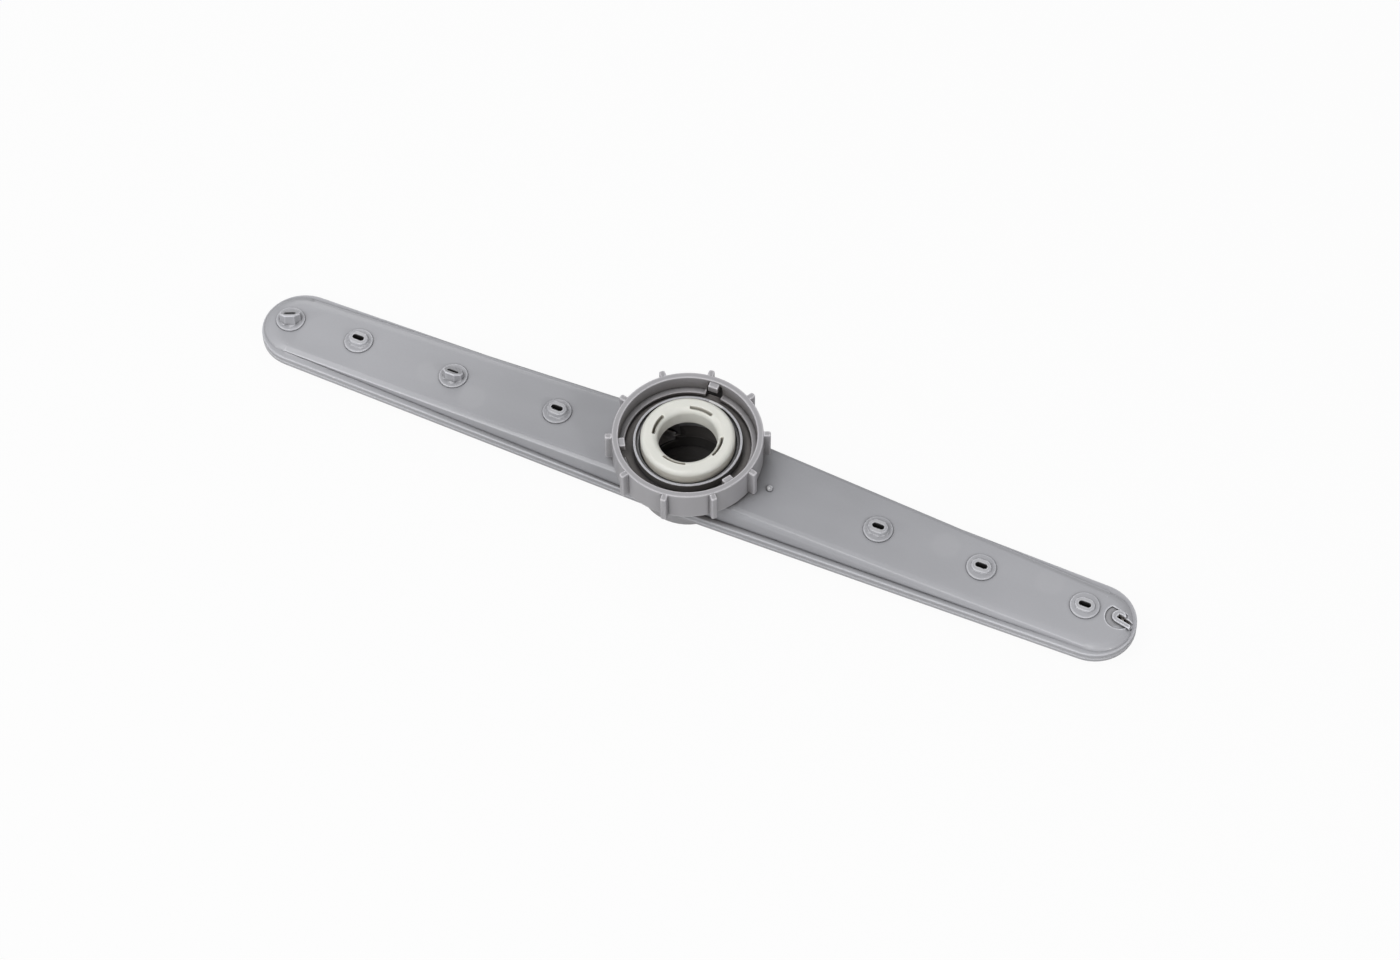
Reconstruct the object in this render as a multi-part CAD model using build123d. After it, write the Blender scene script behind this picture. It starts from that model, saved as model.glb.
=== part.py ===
from build123d import *
import os
from math import atan2, copysign, cos, degrees, pi, radians, sin, sqrt, tan

# Dishwasher spray arm, upper basket. Millimetres, +Z up.
# The origin is on the hub axis, on the foot of the round boss that the arm lies on.
# +X runs along the arm to the tip with the end jet, +Y to the back.

# Outline of the arm, seen from above
arm_length = 460.0
hub_half_width = 24.4
tip_radius = 20.4

# Levels, from the boss foot up
boss_drop = 7.6            # boss foot to the underside of the flange
tray_flange_height = 2.6
cover_flange_height = 3.2
deck_rise_hub = 12.0       # deck above the flange at the hub axis
deck_rise_tip = 2.2        # deck above the flange at the tip
shell_wall = 2.0

# Flat band of the flange outside the raised channel
lead_band_hub = 1.5        # crisp side of each half
lead_band_tip = 3.7
trail_band_hub = 3.0       # rolled side of each half, to the side wall
trail_band_tip = 2.6
end_band = 0.8             # to the wall at the very end

# Shoulders of the raised channel
side_draft = 1.5           # degrees, side walls
facet_width_hub = 2.6      # bevelled shoulder on the crisp side
facet_width_tip = 3.6
facet_slope = 24.8         # degrees
roll_radius = 6.0          # rolled shoulder on the other side and round the end
roll_steps = 4             # straight steps of its quarter circle

# Dish of the lower shell
dish_depth = 2.2
dish_inset = 4.6
dish_lean = 40.0           # degrees from upright
rim_height = 1.8           # locating rim that stands up inside the channel
rim_wall = 1.2
rim_gap = 0.35             # to the leaning wall of the channel

# Boss under the hub
boss_radius = 23.9
boss_edge = 1.1

# Neck, retaining flange, collar and bush seat
neck_wall = 2.0
neck_foot_radius = 23.6
neck_flare_height = 6.6
collar_rise = 24.3         # collar rim above the flange top
collar_gap = 2.3           # round the head of the bush
collar_wall = 1.25
retainer_reach = 6.6       # out from the neck
retainer_height = 2.4
retainer_below_rim = 5.3   # collar rim down to the top of the retaining flange
seat_below_rim = 2.7       # collar rim down to the bush seat
seat_web = 1.2
seat_step_height = 0.9
seat_step_wall = 1.5

# Bearing bush
bore_radius = 14.3
sleeve_wall = 1.6
sleeve_gap = 0.3           # radial running gap in the seat web
head_width = 8.45          # bore to the rim of the head
head_height = 7.5
crown_inner_round = 3.3
crown_outer_round = 2.6
crown_steps = 3            # straight steps of each quarter circle
head_wall = 2.3
head_core_width = 2.2
head_core_depth = 4.6
hook_reach = 1.9
hook_height = 1.1
hook_gap = 0.2             # axial play of the bush under the web
window_width = 2.0
window_angle = 41.0        # degrees
hook_side_gap = 2.0        # degrees, window past the hook at each end
hook_count = 4

# Ring nut
nut_wall = 3.0
nut_height = 16.8
nut_gap = 0.4              # radial gap round the retaining flange
nut_play = 0.35            # axial play of the nut on the retaining flange
ledge_drop = 8.2           # nut top down to the ledge
ledge_reach = 2.8
ledge_height = 2.2
bead_reach = 1.15          # snap bead inside the wall, under the retaining flange
bead_height = 1.2
rib_count = 10
rib_reach = 3.4
rib_width = 2.9
rib_bevel = 0.8
rib_top_drop = 0.4
rib_foot_lift = 0.3
rib_angle = 25.0           # degrees, first rib
tab_count = 3
tab_angle = 91.0           # degrees, first tab
tab_width = 5.0
tab_reach = 3.1
tab_height = 4.6
pocket_width = 7.6
pocket_depth = 1.5
pocket_top_drop = 2.8

# Jets: along the arm, across it, rise of the top above the deck
jet_pad_radius = 7.2
jet_pad_rise = 0.9
arm_end = arm_length / 2   # jets near a tip are placed from the arm's end
flat_jets = [
    (50.9 - arm_end, 1.4, 3.3),
    (-69.6, -0.4, 3.4),
    (99.0, 0.5, 3.1),
    (arm_end - 78.6, 2.0, 1.9),
    (arm_end - 26.5, 3.4, 1.6),
]
flat_jet_length = 9.6
flat_jet_width = 7.2
flat_jet_bevel = 2.2
flat_slot_length = 5.6
flat_slot_width = 2.2
flat_taper = 12.0          # degrees
drive_jets = [                          # the last turns it, degrees
    (13.4 - arm_end, 0.5, 5.4, 25.0),
    (103.9 - arm_end, -0.2, 4.4, 0.0),
]
drive_jet_length = 9.4
drive_jet_width = 6.8
drive_jet_bevel = 2.4
drive_slot_length = 5.4
drive_slot_width = 1.3
drive_taper = 4.0          # degrees
drive_tilt = 34.0          # degrees, top face towards the back

# End jet in the tip of the +X half
end_jet_inset = 9.6        # from the arm's end
end_jet_y = 4.5
end_jet_turn = -12.0       # degrees, seen from above
end_hood_radius = 3.3
end_hood_rise = 0.7
end_slot_width = 2.5
end_slot_length = 7.6
end_recess_radius = 6.6
end_recess_depth = 0.7
end_slot_lip = 0.3         # mouth of the slot above the flange top

# Mark left by the moulding sprue on the deck
sprue_x = 43.1
sprue_y = -0.7
sprue_radius = 1.5
sprue_rise = 0.9

edge_bevel = 0.4           # outer edges of both flanges

# Levels and places that follow
seam_z = boss_drop + tray_flange_height
flange_top_z = seam_z + cover_flange_height
deck_hub_z = flange_top_z + deck_rise_hub
deck_tip_z = flange_top_z + deck_rise_tip
tip_x = arm_end - tip_radius
channel_tip_radius = tip_radius - trail_band_tip
channel_tip_x = arm_end - end_band - channel_tip_radius
end_jet_x = arm_end - end_jet_inset
rim_z = flange_top_z + collar_rise
retainer_top_z = rim_z - retainer_below_rim
retainer_foot_z = retainer_top_z - retainer_height
seat_z = rim_z - seat_below_rim
web_foot_z = seat_z - seat_web
ledge_foot_z = retainer_top_z + nut_play
ledge_top_z = ledge_foot_z + ledge_height
nut_top_z = ledge_top_z + ledge_drop
nut_foot_z = nut_top_z - nut_height
seat_bore_radius = bore_radius + sleeve_wall + sleeve_gap
head_radius = bore_radius + head_width
neck_radius = head_radius + collar_gap + collar_wall
retainer_radius = neck_radius + retainer_reach
nut_inner_radius = retainer_radius + nut_gap
nut_radius = nut_inner_radius + nut_wall
ledge_radius = nut_inner_radius - ledge_reach


def deck_z(x):
    """Height of the sloping deck at a distance along the arm."""
    return deck_hub_z + (deck_tip_z - deck_hub_z) * min(abs(x) / channel_tip_x, 1.0)


def deck_tilt(x):
    """Slope of the deck there, as a turn about +Y in degrees. The round ends are level."""
    slope = degrees(atan2(deck_hub_z - deck_tip_z, channel_tip_x))
    return copysign(slope, x) if abs(x) < channel_tip_x else 0.0


def arm_outline(hub_inset, tip_inset):
    """Plan of the whole arm: straight tapering sides and a round tip at each end."""
    side = hub_half_width - hub_inset
    tip = tip_radius - tip_inset
    with BuildSketch() as plan:
        with BuildLine():
            right_back = Line((0, side), (tip_x, tip))
            right_tip = ThreePointArc(right_back @ 1, (tip_x + tip, 0), (tip_x, -tip))
            right_front = Line(right_tip @ 1, (0, -side))
            left_front = Line(right_front @ 1, (-tip_x, -tip))
            left_tip = ThreePointArc(left_front @ 1, (-tip_x - tip, 0), (-tip_x, tip))
            Line(left_tip @ 1, right_back @ 0)
        make_face()
    return plan.sketch


def cut_off(solid, corner, first, second):
    """Cut away what lies past the plane that holds a corner and two directions."""
    normal = Vector(*first).cross(Vector(*second))
    return split(solid, bisect_by=Plane(origin=corner, z_dir=normal), keep=Keep.BOTTOM)


def quarter_round(centre_x, centre_z, radius, start, steps):
    """Points of a quarter circle in straight steps, clockwise from a start angle in radians."""
    turns = [start - k * pi / 2 / steps for k in range(steps + 1)]
    return [(centre_x + radius * cos(turn), centre_z + radius * sin(turn)) for turn in turns]


def channel_section(inner, wall, foot_z, top_z, inset):
    """Trailing side of the channel's section: outwards, upwards. The hollow has one bevel for the roll."""
    lean = tan(radians(side_draft))
    radius = roll_radius - inset
    roll_z = top_z - radius
    foot_wall = wall + (flange_top_z - foot_z) * lean
    roll_wall = wall + (flange_top_z - roll_z) * lean
    if inset > 0:
        bevel = (2 - sqrt(2)) * radius
        roll = [(roll_wall - bevel, top_z), (roll_wall, top_z - bevel)]
    else:
        roll = quarter_round(roll_wall - radius, roll_z, radius, pi / 2, roll_steps)
    return make_face(Polyline((inner, foot_z), (inner, top_z), *roll, (foot_wall, foot_z), close=True))


def half_channel(inset):
    """Raised channel of the +X half, or with an inset the hollow inside it.

    The trailing side, on -Y, is rolled like the round end, and the crisp side, on +Y, is bevelled.
    """
    lead_hub = hub_half_width - lead_band_hub - inset
    lead_tip = tip_radius - lead_band_tip - inset
    trail_hub = hub_half_width - trail_band_hub - inset
    trail_tip = channel_tip_radius - inset
    hub_z = deck_hub_z - inset
    end_z = deck_tip_z - inset
    climb = hub_z - end_z
    foot_z = seam_z - 2 * climb
    lean = tan(radians(side_draft))
    fall = tan(radians(facet_slope))
    end_plane = Plane(origin=(channel_tip_x, 0, 0), x_dir=(0, -1, 0), z_dir=(-1, 0, 0))
    crest = Vector(-channel_tip_x, trail_tip - trail_hub + climb * lean, climb)
    section = channel_section(-2 * hub_half_width, trail_tip, foot_z, end_z, inset)
    block = extrude(end_plane * section, amount=crest.length, dir=crest)
    lead_line = (channel_tip_x, lead_tip - lead_hub, 0)
    block = cut_off(block, (0, lead_hub, flange_top_z), (0, -lean, 1), lead_line)
    brow_hub = (0, lead_hub - facet_width_hub, hub_z)
    brow_line = (channel_tip_x, lead_line[1] - facet_width_tip + facet_width_hub, -climb)
    block = cut_off(block, brow_hub, brow_line, (0, 1, -fall))
    end_section = Plane.XZ * channel_section(0, trail_tip, foot_z, end_z, inset)
    end = revolve(end_section, axis=Axis.Z, revolution_arc=180)
    return block + Pos(channel_tip_x, 0, 0) * Rot(0, 0, -90) * end


def channel(inset):
    """Both halves: the arm looks the same after half a turn."""
    half = half_channel(inset)
    return half + half.rotate(Axis.Z, 180)


def turned(points):
    """Solid of revolution about the hub axis from points (radius, height)."""
    return revolve(make_face(Plane.XZ * Polyline(*points, close=True)), axis=Axis.Z)


def neck_solid():
    """Hub neck with its flared foot, retaining flange and collar, still full inside."""
    return turned([
        (0, seam_z),
        (neck_foot_radius, seam_z),
        (neck_foot_radius, flange_top_z),
        (neck_radius, flange_top_z + neck_flare_height),
        (neck_radius, retainer_foot_z),
        (retainer_radius, retainer_foot_z),
        (retainer_radius, retainer_top_z),
        (neck_radius, retainer_top_z),
        (neck_radius, rim_z),
        (0, rim_z),
    ])


def neck_hollow():
    """Space inside the neck: the water chamber, the web's bore and the open collar above the seat."""
    chamber = neck_radius - neck_wall
    chamber_foot = neck_foot_radius - neck_wall
    collar_bore = neck_radius - collar_wall
    return turned([
        (0, seam_z - 1),
        (chamber_foot, seam_z - 1),
        (chamber_foot, flange_top_z),
        (chamber, flange_top_z + neck_flare_height),
        (chamber, web_foot_z),
        (seat_bore_radius, web_foot_z),
        (seat_bore_radius, seat_z),
        (collar_bore - seat_step_wall, seat_z),
        (collar_bore - seat_step_wall, seat_z + seat_step_height),
        (collar_bore, seat_z + seat_step_height),
        (collar_bore, rim_z + 1),
        (0, rim_z + 1),
    ])


def jet_pad(x, y):
    """Round pad that a jet stands on, square to the deck and rooted in it."""
    root = shell_wall / 2
    pad = Pos(0, 0, -root) * extrude(Circle(jet_pad_radius), root + jet_pad_rise)
    return Pos(x, y, deck_z(x)) * Rot(0, deck_tilt(x), 0) * pad


def bevelled_plan(length, width, bevel):
    """Eight-sided plan of a jet."""
    return chamfer(Rectangle(length, width).vertices(), bevel)


def flat_jet(x, y, rise):
    """Low eight-sided jet with a level top."""
    plan = bevelled_plan(flat_jet_length, flat_jet_width, flat_jet_bevel)
    stub = extrude(plan, rise + shell_wall, taper=-flat_taper)
    return Pos(x, y, deck_z(x) + rise) * Rot(180, 0, 0) * stub


def flat_slot(x, y, rise):
    """Slot through a low jet into the channel."""
    reach = rise + 2 * shell_wall
    cut = extrude(SlotOverall(flat_slot_length, flat_slot_width), reach + 1)
    return Pos(x, y, deck_z(x) + rise - reach) * cut


def drive_jet(x, y, rise, turn):
    """Tall eight-sided jet whose top leans to the back, so that the water drives the arm round."""
    height = rise + drive_jet_width / 2
    plan = bevelled_plan(drive_jet_length, drive_jet_width, drive_jet_bevel)
    stub = Rot(180, 0, 0) * extrude(plan, height + shell_wall, taper=-drive_taper)
    block = 4 * drive_jet_length
    above = Rot(-drive_tilt, 0, 0) * Box(block, block, block, align=(Align.CENTER, Align.CENTER, Align.MIN))
    lean = Pos(0, 0, -drive_jet_width / 2) * above
    return Pos(x, y, deck_z(x) + height) * Rot(0, 0, turn) * (stub - lean)


def drive_slot(x, y, rise, turn):
    """Slot of a drive jet, square to its leaning top."""
    reach = rise + 2 * shell_wall
    cut = Pos(0, 0, -reach) * extrude(SlotOverall(drive_slot_length, drive_slot_width), 2 * reach)
    lean = Rot(0, 0, turn) * Rot(-drive_tilt / 2, 0, 0)
    return Pos(x, y, deck_z(x) + rise) * lean * cut


def end_place(z):
    """Place of the end jet at a height, turned to the way its water leaves."""
    return Pos(end_jet_x, end_jet_y, z) * Rot(0, 0, end_jet_turn)


def end_hood():
    """Low hooked wall round the inner end and the front of the end jet, inside the channel's end."""
    reach = 2 * end_slot_length
    arm = Pos(reach / 2, -end_hood_radius / 2) * Rectangle(reach, end_hood_radius)
    plan = Circle(end_hood_radius) + arm
    hood = end_place(deck_tip_z - shell_wall) * extrude(plan, shell_wall + end_hood_rise)
    foot_radius = channel_tip_radius - shell_wall
    return hood & Pos(channel_tip_x, 0, seam_z) * extrude(Circle(foot_radius), rim_z)


def end_recess():
    """Shallow crescent in the deck, round the inner end and the front of the hood."""
    side = 2 * end_recess_radius
    front = Pos(0, end_hood_radius - side / 2) * Rectangle(side, side)
    return end_place(deck_tip_z - end_recess_depth) * extrude(Circle(end_recess_radius) & front, shell_wall)


def end_slot():
    """Ramped slot: deep where it meets the channel, rising to the flange outside."""
    deep_z = deck_tip_z - 2 * shell_wall
    top_z = deck_tip_z + 2 * end_hood_rise
    start = -end_slot_width / 4
    mouth_z = flange_top_z + end_slot_lip
    deep_end = start + end_slot_width
    ramp = Polyline(
        (start, top_z), (start, deep_z), (deep_end, deep_z),
        (end_slot_length, mouth_z), (end_slot_length, top_z), close=True,
    )
    return end_place(0) * extrude(make_face(Plane.XZ * ramp), end_slot_width / 2, both=True)


def sprue_mark():
    """Round nub that the moulding sprue leaves on the deck."""
    root = shell_wall / 2
    nub = Pos(0, 0, -root) * extrude(Circle(sprue_radius), root + sprue_rise)
    return Pos(sprue_x, sprue_y, deck_z(sprue_x)) * Rot(0, deck_tilt(sprue_x), 0) * nub


def upper_shell():
    """Cover with deck, jets, flange and hub neck."""
    flange = Pos(0, 0, seam_z) * extrude(arm_outline(0, 0), cover_flange_height)
    flange = chamfer(flange.edges().group_by(Axis.Z)[-1], edge_bevel)
    raised = split(channel(0), bisect_by=Plane.XY.offset(seam_z), keep=Keep.TOP)
    body = flange + raised + neck_solid()
    body = body - end_recess()
    for x, y, rise in flat_jets:
        body = body + jet_pad(x, y) + flat_jet(x, y, rise)
    for x, y, rise, turn in drive_jets:
        body = body + jet_pad(x, y) + drive_jet(x, y, rise, turn)
    body = body + end_hood() + sprue_mark()
    body = body - channel(shell_wall) - neck_hollow()
    for x, y, rise in flat_jets:
        body = body - flat_slot(x, y, rise)
    for x, y, rise, turn in drive_jets:
        body = body - drive_slot(x, y, rise, turn)
    return body - end_slot()


def lower_shell():
    """Tray with flange, shallow dish, locating rim and hub boss."""
    flange = Pos(0, 0, boss_drop) * extrude(arm_outline(0, 0), tray_flange_height)
    flange = chamfer(flange.edges().group_by(Axis.Z)[0], edge_bevel)
    dish = Pos(0, 0, boss_drop) * extrude(arm_outline(dish_inset, dish_inset), -dish_depth, taper=dish_lean)
    boss = extrude(Circle(boss_radius), seam_z)
    boss = chamfer(boss.edges().group_by(Axis.Z)[0], boss_edge)
    rim_hub = trail_band_hub + shell_wall + rim_gap
    rim_tip = lead_band_tip + shell_wall + rim_gap
    rim = Pos(0, 0, seam_z - 1) * extrude(arm_outline(rim_hub, rim_tip), 1 + rim_height)
    floor_z = boss_drop - dish_depth + shell_wall
    hollow = Pos(0, 0, floor_z) * extrude(arm_outline(rim_hub + rim_wall, rim_tip + rim_wall), seam_z)
    cup = Pos(0, 0, shell_wall) * extrude(Circle(boss_radius - shell_wall), seam_z + rim_height)
    neck_room = Pos(0, 0, seam_z) * extrude(Circle(neck_foot_radius + rim_gap), seam_z)
    return flange + dish + boss + rim - neck_room - hollow - cup


def nut_body():
    """Wall, inner ledge and snap bead of the nut."""
    inner = nut_inner_radius
    bead_top = retainer_foot_z - nut_play
    bead = inner - bead_reach
    return turned([
        (nut_radius, nut_foot_z),
        (nut_radius, nut_top_z),
        (inner, nut_top_z),
        (inner, ledge_top_z),
        (ledge_radius, ledge_top_z),
        (ledge_radius, ledge_foot_z),
        (inner, ledge_foot_z),
        (inner, bead_top),
        (bead, bead_top),
        (bead, bead_top - bead_height),
        (inner, bead_top - bead_height - bead_reach),
        (inner, nut_foot_z),
    ])


def nut_rib():
    """Grip rib on +X, bevelled along its outer edges."""
    height = nut_height - rib_top_drop - rib_foot_lift
    reach = rib_reach + nut_wall / 2
    plan = Pos(-reach / 2, 0) * Rectangle(reach, rib_width)
    plan = chamfer(plan.vertices().group_by(Axis.X)[-1], rib_bevel)
    return Pos(nut_radius + rib_reach, 0, nut_foot_z + rib_foot_lift) * extrude(plan, height)


def nut_tab():
    """Bayonet tab on +X, inside the wall at the top, round at its foot."""
    root = nut_wall / 2
    side = Pos(0, -tab_height / 2) * Rectangle(tab_width, tab_height)
    side = fillet(side.vertices().group_by(Axis.Y)[0], tab_width / 2.5)
    tab = extrude(side, tab_reach + root)
    return Pos(nut_inner_radius + root, 0, nut_top_z) * Rot(0, 0, -90) * Rot(90, 0, 0) * tab


def nut_pocket():
    """Core-out on +X: a groove in the wall that runs down through the ledge and the bead."""
    outer = nut_inner_radius + pocket_depth
    length = outer - neck_radius - 1
    height = nut_height - pocket_top_drop + 1
    box = Box(length, pocket_width, height, align=(Align.MAX, Align.CENTER, Align.MAX))
    return Pos(outer, 0, nut_top_z - pocket_top_drop) * box


def ring_nut():
    """Captive bayonet ring with grip ribs."""
    nut = nut_body()
    for k in range(tab_count):
        nut = nut - nut_pocket().rotate(Axis.Z, tab_angle + k * 360 / tab_count)
    for k in range(tab_count):
        nut = nut + nut_tab().rotate(Axis.Z, tab_angle + k * 360 / tab_count)
    for k in range(rib_count):
        nut = nut + nut_rib().rotate(Axis.Z, rib_angle + k * 360 / rib_count)
    return nut


def bush_body():
    """Domed head and sleeve of the bush."""
    top_z = seat_z + head_height
    sleeve = bore_radius + sleeve_wall
    hook_foot = web_foot_z - hook_gap - hook_height
    inner_round = crown_inner_round
    outer_round = crown_outer_round
    return turned([
        (bore_radius, hook_foot),
        *quarter_round(bore_radius + inner_round, top_z - inner_round, inner_round, pi, crown_steps),
        *quarter_round(head_radius - outer_round, top_z - outer_round, outer_round, pi / 2, crown_steps),
        (head_radius, seat_z),
        (sleeve, seat_z),
        (sleeve, hook_foot),
    ])


def arc_block(inner, outer, foot_z, height, angle):
    """Block bent round the hub axis, centred on +X."""
    ring = Circle(outer) - Circle(inner)
    reach = 2 * outer
    spread = reach * tan(radians(angle / 2))
    wedge = make_face(Polyline((0, 0), (reach, spread), (reach, -spread), close=True))
    return Pos(0, 0, foot_z) * extrude(ring & wedge, height)


def bearing_bush():
    """Bearing ring that clips into the seat web."""
    sleeve = bore_radius + sleeve_wall
    core_outer = head_radius - head_wall
    core_ring = Circle(core_outer) - Circle(core_outer - head_core_width)
    core = Pos(0, 0, seat_z) * extrude(core_ring, head_core_depth)
    hook_foot = web_foot_z - hook_gap - hook_height
    hook_root = sleeve - sleeve_wall / 2
    hook_angle = window_angle - 2 * hook_side_gap
    bush = bush_body() - core
    for k in range(hook_count):
        turn = k * 360 / hook_count
        window = arc_block(sleeve, sleeve + window_width, seat_z - 0.1, head_height + 1, window_angle)
        hook = arc_block(hook_root, sleeve + hook_reach, hook_foot, hook_height, hook_angle)
        bush = bush - window.rotate(Axis.Z, turn) + hook.rotate(Axis.Z, turn)
    return bush


def main():
    """Write one STEP file for each piece."""
    os.makedirs("parts", exist_ok=True)
    export_step(upper_shell(), "parts/upper_shell.step")
    export_step(lower_shell(), "parts/lower_shell.step")
    export_step(ring_nut(), "parts/ring_nut.step")
    export_step(bearing_bush(), "parts/bearing_bush.step")


main()
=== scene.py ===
"""Looks of the dishwasher spray arm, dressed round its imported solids.

The arm lies flat with its jets up. Two welded shells make the arm, a ribbed ring nut is caught on the
hub's neck, and a cream bush turns in the seat inside it.
"""

import logging
import math
from dataclasses import dataclass
from enum import Enum
from typing import Any, Callable, Iterable, Sequence

import bmesh
import bpy
from mathutils import Matrix, Vector


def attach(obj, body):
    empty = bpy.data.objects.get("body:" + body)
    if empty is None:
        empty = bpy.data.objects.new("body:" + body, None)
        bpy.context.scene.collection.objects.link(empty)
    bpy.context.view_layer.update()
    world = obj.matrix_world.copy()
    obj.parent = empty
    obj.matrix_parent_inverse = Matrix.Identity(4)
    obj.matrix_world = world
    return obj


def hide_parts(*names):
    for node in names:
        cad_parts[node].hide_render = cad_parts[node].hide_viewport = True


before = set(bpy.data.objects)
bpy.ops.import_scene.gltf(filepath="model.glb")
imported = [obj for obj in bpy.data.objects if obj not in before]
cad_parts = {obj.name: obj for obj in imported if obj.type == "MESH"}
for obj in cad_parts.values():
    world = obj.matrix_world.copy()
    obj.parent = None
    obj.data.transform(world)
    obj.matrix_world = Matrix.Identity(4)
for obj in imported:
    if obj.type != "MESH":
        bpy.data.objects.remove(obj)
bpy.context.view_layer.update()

log = logging.getLogger("spray_arm")
MM = 0.001
Pair = tuple[float, float]
Triple = tuple[float, float, float]
RoundRule = Callable[[Vector, Vector], float | None]
BLACK: Triple = (0.0, 0.0, 0.0)
WHITE: Triple = (1.0, 1.0, 1.0)
# Height under which a face is a sliver, in millimetres, and passes in which slivers find their normals.
SLIVER = 0.015
SLIVER_PASSES = 4
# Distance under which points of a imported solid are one, in millimetres.
COPY_GAP = 0.002
SHADING_WEIGHT = 100


class Body(Enum):
    """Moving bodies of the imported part."""

    ARM = "arm"
    NUT = "ring_nut"
    BUSH = "bearing_bush"


class Slot(Enum):
    """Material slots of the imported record."""

    ARM = "arm_grey"
    NUT = "nut_grey"
    BUSH = "bush_cream"


@dataclass(frozen=True)
class Pattern:
    """A noise: its waves a metre, its layers of finer waves, and the weight of each next layer."""

    scale: float
    detail: float
    rough: float


class Wire:
    """A node's output socket that takes part in Python expressions."""

    def __init__(self, graph: "Graph", socket: bpy.types.NodeSocket) -> None:
        """Keep the socket and the graph that it belongs to."""
        self.graph = graph
        self.socket = socket

    def _maths(self, operation: str, *values: Any) -> "Wire":
        """Add a Math node on these values and return its result."""
        node = self.graph.node("ShaderNodeMath", {"operation": operation}, dict(enumerate(values)))
        return self.graph.out(node)

    def __add__(self, other: Any) -> "Wire":
        """Sum."""
        return self._maths("ADD", self, other)

    __radd__ = __add__

    def __sub__(self, other: Any) -> "Wire":
        """Difference."""
        return self._maths("SUBTRACT", self, other)

    def __rsub__(self, other: Any) -> "Wire":
        """Difference, reflected."""
        return self._maths("SUBTRACT", other, self)

    def __mul__(self, other: Any) -> "Wire":
        """Product."""
        return self._maths("MULTIPLY", self, other)

    def __truediv__(self, other: Any) -> "Wire":
        """Quotient."""
        return self._maths("DIVIDE", self, other)

    def __gt__(self, other: Any) -> "Wire":
        """1 where greater."""
        return self._maths("GREATER_THAN", self, other)

    def __lt__(self, other: Any) -> "Wire":
        """1 where less."""
        return self._maths("LESS_THAN", self, other)

    def power(self, exponent: float) -> "Wire":
        """Raise to a power."""
        return self._maths("POWER", self, exponent)

    def at_least(self, floor: float) -> "Wire":
        """The value, or the floor where it is less."""
        return self._maths("MAXIMUM", self, floor)

    def sine(self) -> "Wire":
        """Sine of a value in radians."""
        return self._maths("SINE", self)


class Graph:
    """Builds the nodes of one shader or geometry tree."""

    def __init__(self, tree: bpy.types.NodeTree) -> None:
        """Keep the tree and empty it."""
        self.tree = tree
        tree.nodes.clear()

    def node(self, kind: str, settings: dict[str, Any] | None = None,
             inputs: dict[Any, Any] | None = None) -> bpy.types.Node:
        """Add a node.

        Args:
            kind: The node's type.
            settings: Its properties, set first.
            inputs: Values or wires by socket name or index.

        Returns:
            The new node.
        """
        node = self.tree.nodes.new(kind)
        for key, value in (settings or {}).items():
            setattr(node, key, value)
        for key, value in (inputs or {}).items():
            self.feed(node, key, value)
        return node

    def feed(self, node: bpy.types.Node, key: Any, value: Any) -> None:
        """Link a wire to a node's input, or set the input's value.

        Args:
            node: The node.
            key: The input's name or index.
            value: A value, a wire or a list of wires.
        """
        socket = node.inputs[key]
        if isinstance(value, (list, tuple)) and value and isinstance(value[0], Wire):
            for wire in value:
                self.tree.links.new(wire.socket, socket)
        elif isinstance(value, Wire):
            self.tree.links.new(value.socket, socket)
        else:
            socket.default_value = value

    def out(self, node: bpy.types.Node, key: Any = 0) -> Wire:
        """Wire from a node's output."""
        return Wire(self, node.outputs[key])

    def wire(self, kind: str, settings: dict[str, Any] | None = None,
             inputs: dict[Any, Any] | None = None, key: Any = 0) -> Wire:
        """Add a node and return one of its outputs."""
        return self.out(self.node(kind, settings, inputs), key)

    def clear_step(self, value: Any, low: float, high: float) -> Wire:
        """Smooth step of a value from 0 at one level to 1 at another.

        Args:
            value: The value.
            low: Level of the 0.
            high: Level of the 1.

        Returns:
            The step.
        """
        settings = {"interpolation_type": "SMOOTHSTEP"}
        inputs = {"Value": value, "From Min": low, "From Max": high}
        return self.wire("ShaderNodeMapRange", settings, inputs)

    def blend(self, factor: Any, first: Any, second: Any, kind: str = "MIX") -> Wire:
        """Blend two colours.

        Args:
            factor: Share of the second one.
            first: A colour or a wire.
            second: The same.
            kind: How they blend.

        Returns:
            The blend.
        """
        node = self.node("ShaderNodeMix", {"data_type": "RGBA", "blend_type": kind})
        self.feed(node, 0, factor)
        self.feed(node, 6, first if isinstance(first, Wire) else (*first, 1.0))
        self.feed(node, 7, second if isinstance(second, Wire) else (*second, 1.0))
        return self.out(node, 2)

    def noise(self, place: Any, pattern: Pattern) -> Wire:
        """Noise from 0 to 1."""
        return self.wire("ShaderNodeTexNoise", {}, {
            "Vector": place, "Scale": pattern.scale, "Detail": pattern.detail, "Roughness": pattern.rough})

    def parts(self, vector: Any) -> list[Wire]:
        """X, Y and Z of a vector."""
        node = self.node("ShaderNodeSeparateXYZ", {}, {0: vector})
        return [self.out(node, axis) for axis in range(3)]

    def mixed_surface(self, end: str, share: Wire, first: Wire, second: Wire) -> None:
        """Mix two shaders by the share of the second one, into this type of output."""
        mixed = self.wire("ShaderNodeMixShader", {}, {0: share, 1: first, 2: second})
        self.node(end, {}, {"Surface": mixed})


def plan_distance(x: Wire, y: Wire) -> Wire:
    """Distance from the hub axis, seen from above."""
    return (x * x + y * y).power(0.5)


def on_ring(radius: float, degrees: float) -> Pair:
    """Place in plan at a distance and a turn from the hub axis."""
    turn = math.radians(degrees)
    return radius * math.cos(turn), radius * math.sin(turn)


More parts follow.
